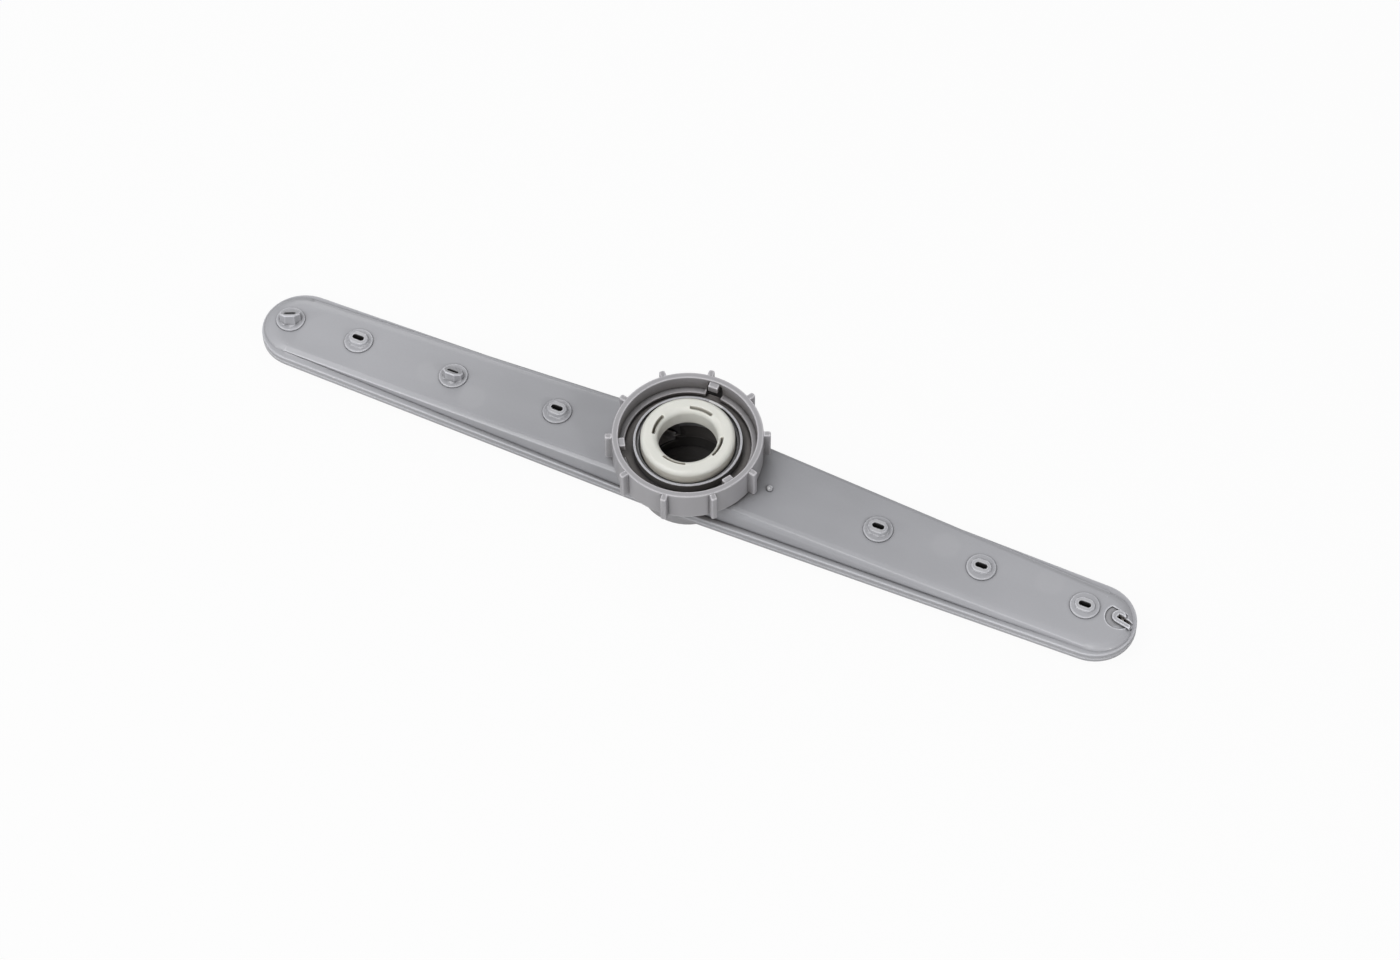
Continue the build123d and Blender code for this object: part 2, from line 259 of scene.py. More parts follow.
@dataclass(frozen=True)
class Shade:
    """How plastic near a point is turned into painted shade, or a painted highlight on an edge.

    Attributes:
        reach: How far it is looked for, in millimetres.
        starts, full: Covered shares at which the painted shade or highlight starts and is full.
        inside: Whether the plastic under the point counts, not that round it.
    """

    reach: float
    starts: float
    full: float
    inside: bool = False


@dataclass(frozen=True)
class Speck:
    """A small pale spot on the plastic, in millimetres; it serves for real marks and for painted highlights.

    Attributes:
        x, y, z: Its middle.
        radius: Radius at which it ends.
        strength: Share of the pale colour in it.
        core: Share of the radius up to which it is full.
    """

    x: float
    y: float
    z: float
    radius: float
    strength: float
    core: float = 0.6


@dataclass(frozen=True)
class SlotShade:
    """Painted shade inside a slot or a pocket, in millimetres, standing in for the dark of its depth.

    Attributes:
        x, y: Middle of the slot.
        length, width: Its size, round ends included.
        turn: Its turn seen from above, in degrees.
        top: Level that the painted shade reaches.
        left: Share of the colour left in it.
    """

    x: float
    y: float
    length: float
    width: float
    turn: float = 0.0
    top: float = 99.0
    left: float = 0.07


@dataclass(frozen=True)
class ShadeRing:
    """A ring of painted shade, in millimetres, darkening a hollow that falls in shade.

    Attributes:
        inner, outer: Its radii.
        foot, top: Its levels.
        left: Share of the colour left in it.
        x, y: Its middle.
        tint: Share of it that counts towards the brown tint of deep painted shade.
    """

    inner: float
    outer: float
    foot: float
    top: float
    left: float
    x: float = 0.0
    y: float = 0.0
    tint: float = 1.0


@dataclass(frozen=True)
class MouldedPlastic:
    """Finish of a moulded plastic piece.

    Attributes:
        name: Material name.
        colour: Linear base colour.
        mottle: How much flow marks and broad patches of painted sheen change the colour.
        roughness: Mean roughness.
        gloss: Level of the clear reflection.
        grain: Depth of the surface grain in millimetres.
        flow: How far flow marks are drawn out along the piece.
        scatter: Weight of the light that goes into the plastic.
        specks: Pale spots on the surface: real marks and painted highlights.
        turning: Depth of turned rings round the hub axis, in millimetres.
        crease, hollow: How much painted shade darkens the creases and the deep hollows.
        shade_tint: How much browner the colour gets where the painted shade is deeper.
        painted_edge_light: How much a painted highlight lightens the edges.
        shade_rings: Rings of painted shade in the hub and the end jet's recess.
        slot_shade: Painted shade in slots and pockets.
        coat: Weight of a thin sharp sheen over it all.
        painted_tip_light: Painted light that makes the tips paler, and painted shade that makes the hub
            darker.
    """

    name: str
    colour: Triple
    mottle: float = 0.05
    roughness: float = 0.40
    gloss: float = 0.45
    grain: float = 0.012
    flow: float = 3.0
    scatter: float = 0.0
    specks: tuple[Speck, ...] = ()
    turning: float = 0.0
    crease: float = 0.75
    hollow: float = 0.9
    shade_tint: float = 0.16
    painted_edge_light: float = 1.0
    shade_rings: tuple[ShadeRing, ...] = ()
    slot_shade: tuple[SlotShade, ...] = ()
    coat: float = 0.0
    painted_tip_light: float = 0.0

    CLOUDS = Pattern(42.0, 3.0, 0.55)
    # Broad patches of painted sheen, laid into the colour; they also vary the roughness.
    SHEEN_PATCHES = Pattern(17.0, 2.0, 0.5)
    FLECKS = Pattern(1500.0, 2.0, 0.6)
    GRAIN = Pattern(2600.0, 3.0, 0.6)
    ROUGH_SPREAD = 0.12
    BUMP_STRENGTH = 0.6
    IN_CREASES = Shade(2.0, 0.05, 0.65)
    IN_HOLLOWS = Shade(40.0, 0.42, 0.84)
    ON_EDGES = Shade(0.9, 0.05, 0.36, True)
    SHADE_SAMPLES = 6
    # Distances from the hub axis over which painted light makes the plastic paler, and the step that leaves
    # its colour.
    TIP_LIGHT_SPAN = (40.0, 215.0)
    TIP_LIGHT_MIDDLE = 0.4
    # Share of the colour left in a pale spot, and the white added to it; spots are real marks and painted
    # highlights.
    PALE_SHARE = 0.35
    PALE_ADDED = 0.6
    RING_PITCH = 1.6
    RING_FADE = (20.0, 21.5)
    PLASTIC_IOR = 1.49
    COAT_ROUGHNESS = 0.14
    # How far red, green and blue light goes in the plastic, times the scale in millimetres.
    SCATTER_REACH = (0.9, 0.85, 0.7)
    SCATTER_SCALE = 1.2

    def _covered(self, graph: Graph, shade: Shade) -> Wire:
        """How far plastic round or under a point brings painted shade, or a painted highlight on an edge.

        Args:
            graph: The material's nodes.
            shade: The kind of wear.

        Returns:
            The share of painted shade or highlight, from 0 to 1.
        """
        settings = {"samples": self.SHADE_SAMPLES, "inside": shade.inside, "only_local": shade.inside}
        open_share = graph.wire("ShaderNodeAmbientOcclusion", settings, {"Distance": shade.reach * MM}, "AO")
        return graph.clear_step(1.0 - open_share, shade.starts, shade.full)

    def _painted_light_and_shade(self, graph: Graph, place: Wire) -> tuple[Wire, Wire]:
        """Share of the colour left by painted shade and painted light: creases, hollows, rings, edges and
        tips.

        Args:
            graph: The material's nodes.
            place: Object coordinates.

        Returns:
            The share, and how deep in a hollow the place is, from 0 to 1.
        """
        # Painted shade in creases and deep hollows, read from how much plastic is near.
        creases = 1.0 - self._covered(graph, self.IN_CREASES) * self.crease
        depth = self._covered(graph, self.IN_HOLLOWS)
        # Painted highlight along convex edges.
        edges = 1.0 + self._covered(graph, self.ON_EDGES) * self.painted_edge_light
        share = creases * (1.0 - depth * self.hollow) * edges
        x, y, z = graph.parts(place)
        # Rings of painted shade where hollows fall in shade.
        for ring in self.shade_rings:
            away = plan_distance(x - ring.x * MM, y - ring.y * MM)
            around = (away > ring.inner * MM) * (away < ring.outer * MM)
            inside = around * (z > ring.foot * MM) * (z < ring.top * MM)
            share = share * (1.0 - inside * (1.0 - ring.left))
            depth = depth + inside * ring.tint
        # Painted light towards the tips, painted shade near the hub.
        if self.painted_tip_light:
            near, far = self.TIP_LIGHT_SPAN
            outwards = graph.clear_step(plan_distance(x, y), near * MM, far * MM)
            share = share * (1.0 + (outwards - self.TIP_LIGHT_MIDDLE) * self.painted_tip_light)
        return share, graph.clear_step(depth, 0.0, 1.0)

    def _slot_shade_mask(self, graph: Graph, place: Wire) -> Wire:
        """Mask of the painted shade in slots and pockets.

        Args:
            graph: The material's nodes.
            place: Object coordinates.

        Returns:
            The mask.
        """
        x, y, z = graph.parts(place)
        mask: Any = 0.0
        for slot in self.slot_shade:
            cosine, sine = math.cos(math.radians(slot.turn)), math.sin(math.radians(slot.turn))
            from_x, from_y = x - slot.x * MM, y - slot.y * MM
            along, across = from_x * cosine + from_y * sine, from_y * cosine - from_x * sine
            straight = (slot.length - slot.width) / 2 * MM
            past = ((along * along).power(0.5) - straight).at_least(0.0)
            within = (plan_distance(past, across) < slot.width / 2 * MM) * (z < slot.top * MM)
            mask = within * (1.0 - slot.left) + mask
        return mask

    def _specks(self, graph: Graph, place: Wire) -> Wire:
        """Mask of the pale spots: real marks and painted highlights.

        Args:
            graph: The material's nodes.
            place: Object coordinates.

        Returns:
            The mask.
        """
        mask: Any = 0.0
        for speck in self.specks:
            centre = (speck.x * MM, speck.y * MM, speck.z * MM)
            away = graph.wire(
                "ShaderNodeVectorMath", {"operation": "DISTANCE"}, {0: place, 1: centre}, "Value")
            near = 1.0 - graph.clear_step(away, speck.core * speck.radius * MM, speck.radius * MM)
            mask = near * speck.strength + mask
        return mask

    def _turned_rings(self, graph: Graph, place: Wire) -> Wire:
        """Fine rings that a lathe left round the hub axis, from -1 to 1.

        Args:
            graph: The material's nodes.
            place: Object coordinates.

        Returns:
            The rings.
        """
        x, y, _ = graph.parts(place)
        radius = plan_distance(x, y)
        rings = (radius * (2.0 * math.pi / (self.RING_PITCH * MM))).sine()
        near, far = self.RING_FADE
        return rings * (1.0 - graph.clear_step(radius, near * MM, far * MM))

    def make(self) -> bpy.types.Material:
        """Build the material.

        Returns:
            The material, in Object coordinates.
        """
        material = bpy.data.materials.new(self.name)
        material.use_nodes = True
        graph = Graph(material.node_tree)
        place = graph.wire("ShaderNodeTexCoord", key="Object")
        drawn = graph.wire("ShaderNodeMapping", {}, {"Vector": place, "Scale": (1.0 / self.flow, 1.0, 1.0)})
        # Flow marks with broad painted sheen, for the colour and the roughness.
        tone_and_sheen = graph.noise(drawn, self.CLOUDS) + graph.noise(place, self.SHEEN_PATCHES) - 1.0
        flecks = graph.noise(place, self.FLECKS) - 0.5
        share, depth = self._painted_light_and_shade(graph, place)
        level = (1.0 + tone_and_sheen * 2.0 * self.mottle + flecks * self.mottle) * share
        # Browner where the painted shade is deeper.
        greenish = level * (1.0 - depth * (self.shade_tint / 2))
        bluish = level * (1.0 - depth * self.shade_tint)
        tone = graph.wire("ShaderNodeCombineColor", {}, {0: level, 1: greenish, 2: bluish})
        colour = graph.blend(1.0, self.colour, tone, "MULTIPLY")
        # Pale spots: real marks, and painted highlights.
        if self.specks:
            pale = tuple(self.PALE_SHARE * part + self.PALE_ADDED for part in self.colour)
            colour = graph.blend(self._specks(graph, place), colour, pale)
        # Painted shade: slots and pockets go black.
        if self.slot_shade:
            colour = graph.blend(self._slot_shade_mask(graph, place), colour, BLACK)
        grain = graph.noise(place, self.GRAIN)
        height: Any = grain * self.grain
        if self.turning:
            height = height + self._turned_rings(graph, place) * self.turning
        bump = graph.wire("ShaderNodeBump", {}, {
            "Strength": self.BUMP_STRENGTH, "Distance": MM, "Height": height})
        shader = graph.wire("ShaderNodeBsdfPrincipled", {"subsurface_method": "BURLEY"}, {
            "Base Color": colour,
            "Roughness": (grain - 0.5 + tone_and_sheen) * self.ROUGH_SPREAD + self.roughness,
            "Normal": bump,
            "Specular IOR Level": self.gloss,
            "IOR": self.PLASTIC_IOR,
            "Coat Weight": self.coat,
            "Coat Roughness": self.COAT_ROUGHNESS,
            "Subsurface Weight": self.scatter,
            "Subsurface Radius": self.SCATTER_REACH,
            "Subsurface Scale": self.SCATTER_SCALE * MM,
        })
        graph.node("ShaderNodeOutputMaterial", {}, {"Surface": shader})
        return material


def link(thing: bpy.types.Object) -> bpy.types.Object:
    """Link an object to the scene and return it."""
    bpy.context.scene.collection.objects.link(thing)
    return thing


def bake(piece: bpy.types.Object, modifier: bpy.types.Modifier) -> None:
    """Keep what a modifier makes of a piece as its plain mesh.

    Args:
        piece: The piece.
        modifier: The modifier, which goes.
    """
    bpy.context.view_layer.update()
    shown = piece.evaluated_get(bpy.context.evaluated_depsgraph_get())
    mesh = bpy.data.meshes.new_from_object(shown)
    piece.modifiers.remove(modifier)
    piece.data = mesh


def lathe_points(points: Iterable[Pair], name: str) -> bpy.types.Object:
    """Object whose mesh is a closed outline of (radius, height) points.

    Args:
        points: The outline in millimetres, in order.
        name: The object's name.

    Returns:
        The object, linked to the scene.
    """
    corners = [(radius * MM, 0.0, height * MM) for radius, height in points]
    edges = [(k, (k + 1) % len(corners)) for k in range(len(corners))]
    mesh = bpy.data.meshes.new(name)
    mesh.from_pydata(corners, edges, [])
    return link(bpy.data.objects.new(name, mesh))


def arc(centre: Pair, radius: float, start: float, sweep: float, steps: int) -> list[Pair]:
    """Points of an arc in the (radius, height) plane.

    Args:
        centre: Centre of the arc.
        radius: Its radius.
        start: First angle in degrees.
        sweep: Turn in degrees.
        steps: Number of straight steps.

    Returns:
        The points, ends included.
    """
    points = [on_ring(radius, start + sweep * k / steps) for k in range(steps + 1)]
    return [(centre[0] + x, centre[1] + y) for x, y in points]


class Forge:
    """Builds one geometry tree on a piece and turns its result into a plain mesh.

    Each form makes named inputs of its sizes, which start with the form's own name.
    """

    LATHE_RADIUS = 1.0
    SECTOR_STEPS = 24
    CORNER_STEPS = 4

    def __init__(self, name: str) -> None:
        """Start a geometry tree with a geometry input and output.

        Args:
            name: The tree's name.
        """
        self.tree = bpy.data.node_groups.new(name, "GeometryNodeTree")
        self.graph = Graph(self.tree)
        self.values: dict[str, float | int] = {}
        self.tree.interface.new_socket("Geometry", in_out="INPUT", socket_type="NodeSocketGeometry")
        self.tree.interface.new_socket("Geometry", in_out="OUTPUT", socket_type="NodeSocketGeometry")
        self.source = self.graph.node("NodeGroupInput")

    def outline(self) -> Wire:
        """The piece's own mesh, as it comes in."""
        return self.graph.out(self.source, "Geometry")

    def size(self, name: str, value: float) -> Wire:
        """Named input for a size.

        Args:
            name: Socket name.
            value: Millimetres, or a count where it is a whole number.

        Returns:
            Wire in metres, or the count.
        """
        whole = isinstance(value, int)
        kind = "NodeSocketInt" if whole else "NodeSocketFloat"
        self.tree.interface.new_socket(name, in_out="INPUT", socket_type=kind)
        self.values[name] = value if whole else value * MM
        return self.graph.out(self.source, name)

    def turn(self, name: str, degrees: float) -> Wire:
        """Named input for an angle.

        Args:
            name: Socket name.
            degrees: The angle.

        Returns:
            Wire in radians.
        """
        wire = self.size(name, float(degrees))
        self.values[name] = math.radians(degrees)
        return wire

    def vector(self, x: Any = 0.0, y: Any = 0.0, z: Any = 0.0) -> Wire:
        """Vector from three values."""
        return self.graph.wire("ShaderNodeCombineXYZ", {}, {0: x, 1: y, 2: z})

    def lathe(self, outline: Wire, segments: Wire) -> Wire:
        """Turn an outline in the XZ plane round the Z axis.

        Args:
            outline: The outline.
            segments: Steps round the axis.

        Returns:
            The turned solid.
        """
        graph = self.graph
        x, _, z = graph.parts(graph.wire("GeometryNodeInputPosition"))
        moved = self.vector(x - self.LATHE_RADIUS, 0.0 - z, 0.0)
        flat = graph.wire("GeometryNodeSetPosition", {}, {"Geometry": outline, "Position": moved})
        section = graph.wire("GeometryNodeMeshToCurve", {}, {"Mesh": flat})
        path = graph.wire("GeometryNodeCurvePrimitiveCircle", {"mode": "RADIUS"},
                          {"Resolution": segments, "Radius": self.LATHE_RADIUS})
        return graph.wire("GeometryNodeCurveToMesh", {}, {"Curve": path, "Profile Curve": section})

    def rectangle(self, width: Wire, height: Wire) -> Wire:
        """Outline of a rectangle."""
        return self.graph.wire("GeometryNodeCurvePrimitiveQuadrilateral", {"mode": "RECTANGLE"},
                               {"Width": width, "Height": height})

    def sweep(self, path: Wire, section: Wire) -> Wire:
        """Solid of a section along a path."""
        return self.graph.wire("GeometryNodeCurveToMesh", {},
                               {"Curve": path, "Profile Curve": section, "Fill Caps": True})

    def sector(self, name: str, radius: float, width: float, height: float, level: float,
               spread: float) -> Wire:
        """Block bent round the Z axis, centred on +X.

        Args:
            name: The form's name.
            radius: Radius of its middle line.
            width: Its width across that line.
            height: Its height.
            level: Level of its middle.
            spread: Its angle round the axis, in degrees.

        Returns:
            The block.
        """
        middle_radius = self.size(f"{name} Radius", radius)
        section = self.rectangle(self.size(f"{name} Width", width), self.size(f"{name} Height", height))
        middle = self.vector(z=self.size(f"{name} Level", level))
        angle = self.turn(f"{name} Spread", spread)
        path = self.graph.wire("GeometryNodeCurveArc", {"mode": "RADIUS"}, {
            "Resolution": self.SECTOR_STEPS, "Radius": middle_radius,
            "Start Angle": 0.0 - angle / 2.0, "Sweep Angle": angle})
        return self.move(self.sweep(path, section), middle)

    def bar(self, name: str, length: float, width: float, corner: float, foot: float, top: float,
            place: float) -> Wire:
        """Upright bar with round corners, its length along X.

        Args:
            name: The form's name.
            length: Its length.
            width: Its width.
            corner: Radius of its corners.
            foot: Level of its foot.
            top: Level of its top.
            place: Distance of its middle from the Z axis.

        Returns:
            The bar.
        """
        section = self.rectangle(self.size(f"{name} Length", length), self.size(f"{name} Width", width))
        section = self.graph.wire("GeometryNodeFilletCurve", {"mode": "POLY"}, {
            "Curve": section, "Radius": self.size(f"{name} Round", corner), "Count": self.CORNER_STEPS})
        start = self.vector(z=self.size(f"{name} Foot", foot))
        end = self.vector(z=self.size(f"{name} Top", top))
        path = self.graph.wire("GeometryNodeCurvePrimitiveLine", {"mode": "POINTS"},
                               {"Start": start, "End": end})
        return self.move(self.sweep(path, section), self.vector(self.size(f"{name} Place", place)))

    def move(self, geometry: Wire, offset: Wire) -> Wire:
        """Geometry moved by an offset."""
        return self.graph.wire("GeometryNodeTransform", {}, {"Geometry": geometry, "Translation": offset})

    def ring(self, geometry: Wire, count: Wire, start: Wire) -> Wire:
        """Repeat geometry round the Z axis, as real meshes.

        Args:
            geometry: The geometry.
            count: Number of copies.
            start: Angle of the first one.

        Returns:
            The copies.
        """
        graph = self.graph
        points = graph.wire("GeometryNodePoints", {}, {"Count": count})
        index = graph.wire("GeometryNodeInputIndex")
        angle = index * (2.0 * math.pi) / count + start
        turned = graph.wire("FunctionNodeEulerToRotation", {}, {0: self.vector(z=angle)})
        copies = graph.wire("GeometryNodeInstanceOnPoints", {},
                            {"Points": points, "Instance": geometry, "Rotation": turned})
        return graph.wire("GeometryNodeRealizeInstances", {}, {"Geometry": copies})

    def cut(self, body: Wire, tools: Sequence[Wire]) -> Wire:
        """Body with tools cut out of it."""
        return self.graph.wire("GeometryNodeMeshBoolean", {"operation": "DIFFERENCE", "solver": "EXACT"},
                               {"Mesh 1": body, "Mesh 2": list(tools)})

    def weld(self, parts: Sequence[Wire]) -> Wire:
        """Parts made one solid."""
        return self.graph.wire("GeometryNodeMeshBoolean", {"operation": "UNION", "solver": "EXACT"},
                               {"Mesh 2": list(parts)})

    def finish(self, piece: bpy.types.Object, result: Wire, material: bpy.types.Material) -> None:
        """Run the tree on the piece and keep its result as a plain mesh.

        Args:
            piece: Object whose mesh goes into the tree.
            result: The tree's last geometry.
            material: Material of the result.
        """
        graph = self.graph
        real = graph.wire("GeometryNodeRealizeInstances", {}, {"Geometry": result})
        dressed = graph.wire("GeometryNodeSetMaterial", {}, {"Geometry": real, "Material": material})
        graph.node("NodeGroupOutput", {}, {0: dressed})
        modifier = piece.modifiers.new("shape", "NODES")
        modifier.node_group = self.tree
        for item in self.tree.interface.items_tree:
            if item.in_out == "INPUT" and item.name in self.values:
                modifier[item.identifier] = self.values[item.name]
        bake(piece, modifier)


def close_and_turn_out(mesh: bpy.types.Mesh, gap: float) -> None:
    """Merge a mesh's doubles and point its faces outwards.

    Args:
        mesh: The mesh to clean.
        gap: Distance under which points are one, in metres.
    """
    work = bmesh.new()
    work.from_mesh(mesh)
    bmesh.ops.remove_doubles(work, verts=work.verts, dist=gap)
    bmesh.ops.dissolve_degenerate(work, edges=work.edges, dist=gap)
    bmesh.ops.recalc_face_normals(work, faces=work.faces)
    if work.calc_volume(signed=True) < 0:
        bmesh.ops.reverse_faces(work, faces=work.faces)
    work.to_mesh(mesh)
    work.free()


def steady_normals(work: bmesh.types.BMesh, thin: float) -> dict[int, Vector]:
    """Normal of each face, where a sliver takes the normal of the face along its longest edge.

    Args:
        work: The mesh.
        thin: Height under which a face is a sliver, in metres.

    Returns:
        Normals by face index.
    """
    normals = {face.index: face.normal.copy() for face in work.faces}
    slivers = []
    for face in work.faces:
        longest = max(face.edges, key=lambda edge: edge.calc_length())
        if 2.0 * face.calc_area() < thin * longest.calc_length():
            slivers.append((face, longest))
    known = set(normals) - {face.index for face, _ in slivers}
    for _ in range(SLIVER_PASSES):
        for face, longest in slivers:
            beside = [other for other in longest.link_faces if other.index in known]
            if face.index not in known and beside:
                normals[face.index] = normals[beside[0].index]
                known.add(face.index)
    return normals


def mark_edges(mesh: bpy.types.Mesh, widest: float, least_turn: float, round_at: RoundRule) -> None:
    """Give each outer edge its share of the widest round, and keep each inner one sharp.

    Args:
        mesh: The mesh.
        widest: Width of the widest round in millimetres.
        least_turn: Edges that turn by less than this, in degrees, get none.
        round_at: Width of the round on an edge, from its middle and its direction; None leaves the edge.
    """
    work = bmesh.new()
    work.from_mesh(mesh)
    work.faces.ensure_lookup_table()
    work.faces.index_update()
    normals = steady_normals(work, SLIVER * MM)
    weight = work.edges.layers.float.new("bevel_weight_edge")
    for edge in work.edges:
        if len(edge.link_faces) == 2:
            one, other = edge.link_faces
            if normals[one.index].angle(normals[other.index], 0.0) > math.radians(least_turn):
                middle = (edge.verts[0].co + edge.verts[1].co) / 2
                inwards = other.calc_center_median() - middle
                run = (edge.verts[1].co - edge.verts[0].co).normalized()
                width = round_at(middle, run)
                if width is None:
                    continue
                if inwards.dot(normals[one.index]) < 0.0:
                    edge[weight] = width / widest
                else:
                    edge.smooth = False
    work.to_mesh(mesh)
    work.free()


def soften(piece: bpy.types.Object, widest: float, steps: int, least_turn: float,
           round_at: RoundRule | None = None) -> None:
    """Round a piece's edges and shade it smooth between them.

    Args:
        piece: The piece.
        widest: Width of the widest round in millimetres.
        steps: Faces across each round.
        least_turn: Edges that turn by less than this, in degrees, stay as they are.
        round_at: Width of the round on an edge, where it isn't the widest everywhere.
    """
    mark_edges(piece.data, widest, least_turn, round_at or (lambda middle, run: widest))
    bevel = piece.modifiers.new("rounds", "BEVEL")
    bevel.width = widest * MM
    bevel.segments = steps
    bevel.limit_method = "WEIGHT"
    bevel.use_clamp_overlap = False
    bevel.miter_outer = "MITER_ARC"
    bake(piece, bevel)
    for face in piece.data.polygons:
        face.use_smooth = True
    weigh = piece.modifiers.new("even_shading", "WEIGHTED_NORMAL")
    weigh.mode = "FACE_AREA"
    weigh.weight = SHADING_WEIGHT
    weigh.keep_sharp = True


def merged_copy(node: str, name: str) -> bpy.types.Object:
    """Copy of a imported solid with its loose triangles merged.

    Args:
        node: The solid's name.
        name: The copy's name.

    Returns:
        The copy, linked to the scene.
    """
    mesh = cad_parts[node].data.copy()
    mesh.materials.clear()
    close_and_turn_out(mesh, COPY_GAP * MM)
    return link(bpy.data.objects.new(name, mesh))


@dataclass(frozen=True)
class Roll:
    """Rolled shoulder of the channel, squared up from a quarter circle.

    Sizes are in millimetres, levels above the floor.

    Attributes:
        radius: Radius of the quarter circle.
        power: How square the shoulder gets; 2 leaves the circle.
        least_power: The same where it meets the crisp side or the end jet.
        deck_hub, deck_end: Levels of the deck at the hub axis and at the round end.
        end: Distance of the round end's centre from the hub axis.
        wall_hub, wall_end: Side wall from the middle line, at the hub axis and at the round end.
        foot: Level of the flange that the wall stands on.
        draft: Lean of the side wall, in degrees.
        blend: Turn over which the round end takes the shape up from the crisp side, in degrees.
        calm: Place of the end jet, in plan, round which the circle stays.
        calm_reach: How far it stays, and how far it blends.
        least: How far out and up of the circle's centre the shoulder starts, in its radii.
        circle, held: Bounds of the distance from that centre before and after the shoulder is squared up.
        foot_skin, foot_gap: Height over the foot that belongs to it, for a corner and for an edge.
    """

    radius: float = 6.0
    power: float = 3.5
    least_power: float = 2.2
    deck_hub: float = 25.4
    deck_end: float = 15.6
    end: float = 211.4
    wall_hub: float = 21.4
    wall_end: float = 17.8
    foot: float = 13.4
    draft: float = 1.5
    blend: float = 70.0
    calm: Pair = (222.5, 4.2)
    calm_reach: Pair = (6.0, 10.0)
    least: float = 0.02
    circle: Pair = (0.96, 1.02)
    held: Pair = (0.95, 1.2)
    foot_skin: float = 0.02
    foot_gap: float = 0.05

    def _section(self, place: Vector) -> tuple[float, float, Vector, float]:
        """Place in the section of the shoulder, in its radii.

        Args:
            place: A place, in metres.

        Returns:
            How far out and up it is, the outward direction, and the turn round the end from the crisp side.
        """
        x, y, z = (part / MM for part in place)
        side = math.copysign(1.0, x)
        past = abs(x) - self.end
        if past <= 0.0:
            reach, turn = -y * side, 180.0
            outwards = Vector((0.0, -side, 0.0))
        else:
            reach, turn = math.hypot(past, y), math.degrees(math.atan2(past, y * side))
            outwards = Vector((side * past, y, 0.0)).normalized()
        share = min(abs(x) / self.end, 1.0)
        level = self.deck_at(x) - self.radius
        wall = self.wall_hub + (self.wall_end - self.wall_hub) * share
        wall += (self.foot - level) * math.tan(math.radians(self.draft))
        return (reach - wall) / self.radius + 1.0, (z - level) / self.radius, outwards, turn

    def deck_at(self, x: float) -> float:
        """Level of the deck at a distance along the arm, in millimetres."""
        return self.deck_hub + (self.deck_end - self.deck_hub) * min(abs(x) / self.end, 1.0)

    def _on_shoulder(self, out: float, up: float, bounds: Pair) -> bool:
        """Whether a place in the section is within these bounds of the shoulder."""
        return min(out, up) > self.least and bounds[0] < math.hypot(out, up) < bounds[1]

    def holds(self, place: Vector) -> bool:
        """Whether a place is on the squared shoulder, above its foot."""
        out, up, _, _ = self._section(place)
        return self._on_shoulder(out, up, self.held) and place.z > (self.foot + self.foot_gap) * MM

    def squared(self, place: Vector) -> Vector:
        """Place of a corner of the mesh after the shoulder is squared up.

        Args:
            place: The corner, in metres.

        Returns:
            Its new place, the same if it isn't on the shoulder.
        """
        out, up, outwards, turn = self._section(place)
        if not self._on_shoulder(out, up, self.circle):
            return place
        take_up = min(turn / self.blend, 1.0)
        away = math.hypot(place.x / MM - self.calm[0], place.y / MM - self.calm[1])
        near, far = self.calm_reach
        take_up *= min(max((away - near) / (far - near), 0.0), 1.0)
        power = self.least_power + (self.power - self.least_power) * take_up * take_up * (3.0 - 2.0 * take_up)
        if place.z < (self.foot + self.foot_skin) * MM:
            new_out, new_up = (1.0 - min(up, 1.0) ** power) ** (1.0 / power), up
        else:
            grow = (out ** power + up ** power) ** (-1.0 / power)
            new_out, new_up = out * grow, up * grow
        moved = outwards * ((new_out - out) * self.radius) + Vector((0.0, 0.0, (new_up - up) * self.radius))
        return place + moved * MM


